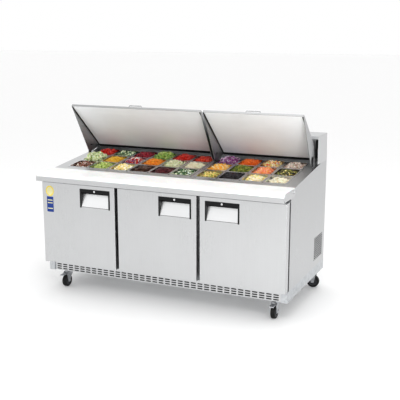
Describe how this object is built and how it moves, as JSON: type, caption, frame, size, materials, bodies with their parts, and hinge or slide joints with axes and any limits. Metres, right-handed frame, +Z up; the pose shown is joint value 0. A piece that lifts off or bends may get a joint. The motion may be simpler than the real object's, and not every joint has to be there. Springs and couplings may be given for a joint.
{
  "type": "sandwich prep table",
  "caption": "Refrigerated sandwich prep table with swing doors, a full-width cutting board, a sloped top of food pans under folding lids, and casters.",
  "frame": {"origin": "on the floor, midway across and midway between the front of the cutting board and the back panel", "axes": "+Z up, +X to the right as the user faces the doors, +Y to the rear"},
  "size_m": [1.831, 0.965, 1.3136],
  "materials": {
    "stainless": "satin",
    "galvanized": "satin",
    "cabinet_liner": "satin",
    "shelf_wire": "satin",
    "lid_lining": "matte",
    "black_rubber": "matte",
    "handle_steel": "polished",
    "door_lining": "satin",
    "black_plastic": "satin",
    "lock_chrome": "polished",
    "white_board": "matte",
    "pan_steel": "satin",
    "food": "matte",
    "coil_aluminium": "satin",
    "black_paint": "satin",
    "zinc": "satin",
    "caster_tread": "matte"
  },
  "bodies": {
    "cabinet": {"back_panel": "galvanized", "base_frame": "galvanized", "board_shelf": "stainless", "compressor": "black_paint", "condenser": "coil_aluminium", "control_box": "galvanized", "door_frame": "stainless", "door_hinges": "galvanized", "evaporator": "coil_aluminium", "food_rear_row": "food", "front_grille": "stainless", "hood": "stainless", "insulated_liner": "cabinet_liner", "lid_pivots": "black_paint", "pan_deck": "stainless", "pan_well": "galvanized", "pans_rear_row": "pan_steel", "side_panel_left": "stainless", "side_panel_right": "stainless", "wire_shelves": "shelf_wire"},
    "lid_left": {"lid_left_panel": "stainless", "lid_left_liner": "lid_lining", "lid_left_gasket": "black_rubber", "lid_left_handle": "handle_steel"},
    "lid_right": {"lid_right_panel": "stainless", "lid_right_liner": "lid_lining", "lid_right_gasket": "black_rubber", "lid_right_handle": "handle_steel"},
    "door_left": {"door_left_skin": "stainless", "door_left_liner": "door_lining", "door_left_gasket": "black_rubber", "door_left_pull": "black_plastic"},
    "lock_left": {"door_left_lock": "lock_chrome"},
    "door_centre": {"door_centre_skin": "stainless", "door_centre_liner": "door_lining", "door_centre_gasket": "black_rubber", "door_centre_pull": "black_plastic"},
    "lock_centre": {"door_centre_lock": "lock_chrome"},
    "door_right": {"door_right_skin": "stainless", "door_right_liner": "door_lining", "door_right_gasket": "black_rubber", "door_right_pull": "black_plastic"},
    "lock_right": {"door_right_lock": "lock_chrome"},
    "board": {"cutting_board": "white_board"},
    "pans_middle": {"pans_middle_row": "pan_steel", "food_middle_row": "food"},
    "pans_front": {"pans_front_row": "pan_steel", "food_front_row": "food"},
    "fork_front_left": {"caster_front_left_fork": "zinc"},
    "wheel_front_left": {"caster_front_left_wheel": "caster_tread"},
    "lever_front_left": {"caster_front_left_lever": "zinc"},
    "fork_front_right": {"caster_front_right_fork": "zinc"},
    "wheel_front_right": {"caster_front_right_wheel": "caster_tread"},
    "lever_front_right": {"caster_front_right_lever": "zinc"},
    "fork_rear_left": {"caster_rear_left_fork": "zinc"},
    "wheel_rear_left": {"caster_rear_left_wheel": "caster_tread"},
    "fork_rear_right": {"caster_rear_right_fork": "zinc"},
    "wheel_rear_right": {"caster_rear_right_wheel": "caster_tread"},
    "fan_condenser": {"condenser_fan": "black_plastic"},
    "fan_evaporator": {"evaporator_fan": "black_plastic"}
  },
  "joints": [
    {"name": "lid_left_hinge", "type": "hinge", "parent": "cabinet", "child": "lid_left", "pos_m": [0, 0.1975, 0.976], "axis": [-1, 0, 0], "range_deg": [-65.9, 0]},
    {"name": "lid_right_hinge", "type": "hinge", "parent": "cabinet", "child": "lid_right", "pos_m": [0, 0.1975, 0.976], "axis": [-1, 0, 0], "range_deg": [-65.9, 0]},
    {"name": "door_left_hinge", "type": "hinge", "parent": "cabinet", "child": "door_left", "pos_m": [-0.8935, -0.4025, 0.5], "axis": [0, 0, -1], "range_deg": [0, 100]},
    {"name": "door_left_lock_turn", "type": "hinge", "parent": "door_left", "child": "lock_left", "pos_m": [-0.47317, -0.4225, 0.753], "axis": [0, -1, 0], "range_deg": [0, 90]},
    {"name": "door_centre_hinge", "type": "hinge", "parent": "cabinet", "child": "door_centre", "pos_m": [-0.28317, -0.4025, 0.5], "axis": [0, 0, -1], "range_deg": [0, 100]},
    {"name": "door_centre_lock_turn", "type": "hinge", "parent": "door_centre", "child": "lock_centre", "pos_m": [0.13717, -0.4225, 0.753], "axis": [0, -1, 0], "range_deg": [0, 90]},
    {"name": "door_right_hinge", "type": "hinge", "parent": "cabinet", "child": "door_right", "pos_m": [0.8935, -0.4025, 0.5], "axis": [0, 0, 1], "range_deg": [0, 100]},
    {"name": "door_right_lock_turn", "type": "hinge", "parent": "door_right", "child": "lock_right", "pos_m": [0.47317, -0.4225, 0.753], "axis": [0, -1, 0], "range_deg": [0, 90]},
    {"name": "board_lift", "type": "slide", "parent": "cabinet", "child": "board", "axis": [0, 0, 1], "range_m": [0, 0.1]},
    {"name": "pans_middle_lift", "type": "slide", "parent": "cabinet", "child": "pans_middle", "axis": [0, -0.1115, 0.9938], "range_m": [0, 0.13]},
    {"name": "pans_front_lift", "type": "slide", "parent": "cabinet", "child": "pans_front", "axis": [0, -0.1115, 0.9938], "range_m": [0, 0.13]},
    {"name": "caster_front_left_swivel", "type": "hinge", "parent": "cabinet", "child": "fork_front_left", "pos_m": [-0.8005, -0.2725, 0.106], "axis": [0, 0, 1], "continuous": true},
    {"name": "caster_front_left_roll", "type": "hinge", "parent": "fork_front_left", "child": "wheel_front_left", "pos_m": [-0.8005, -0.3055, 0.045], "axis": [1, 0, 0], "continuous": true},
    {"name": "caster_front_left_brake", "type": "hinge", "parent": "fork_front_left", "child": "lever_front_left", "pos_m": [-0.8005, -0.3185, 0.096], "axis": [1, 0, 0], "range_deg": [0, 20]},
    {"name": "caster_front_right_swivel", "type": "hinge", "parent": "cabinet", "child": "fork_front_right", "pos_m": [0.8005, -0.2725, 0.106], "axis": [0, 0, 1], "continuous": true},
    {"name": "caster_front_right_roll", "type": "hinge", "parent": "fork_front_right", "child": "wheel_front_right", "pos_m": [0.8005, -0.3055, 0.045], "axis": [1, 0, 0], "continuous": true},
    {"name": "caster_front_right_brake", "type": "hinge", "parent": "fork_front_right", "child": "lever_front_right", "pos_m": [0.8005, -0.3185, 0.096], "axis": [1, 0, 0], "range_deg": [0, 20]},
    {"name": "caster_rear_left_swivel", "type": "hinge", "parent": "cabinet", "child": "fork_rear_left", "pos_m": [-0.8185, 0.4125, 0.106], "axis": [0, 0, 1], "continuous": true},
    {"name": "caster_rear_left_roll", "type": "hinge", "parent": "fork_rear_left", "child": "wheel_rear_left", "pos_m": [-0.8515, 0.4125, 0.045], "axis": [0, 1, 0], "continuous": true},
    {"name": "caster_rear_right_swivel", "type": "hinge", "parent": "cabinet", "child": "fork_rear_right", "pos_m": [0.8185, 0.4125, 0.106], "axis": [0, 0, 1], "continuous": true},
    {"name": "caster_rear_right_roll", "type": "hinge", "parent": "fork_rear_right", "child": "wheel_rear_right", "pos_m": [0.8515, 0.4125, 0.045], "axis": [0, 1, 0], "continuous": true},
    {"name": "condenser_fan_spin", "type": "hinge", "parent": "cabinet", "child": "fan_condenser", "pos_m": [0.81, 0.3445, 0.325], "axis": [1, 0, 0], "continuous": true},
    {"name": "evaporator_fan_spin", "type": "hinge", "parent": "cabinet", "child": "fan_evaporator", "pos_m": [0, 0.0535, 0.655], "axis": [0, 1, 0], "continuous": true}
  ]
}
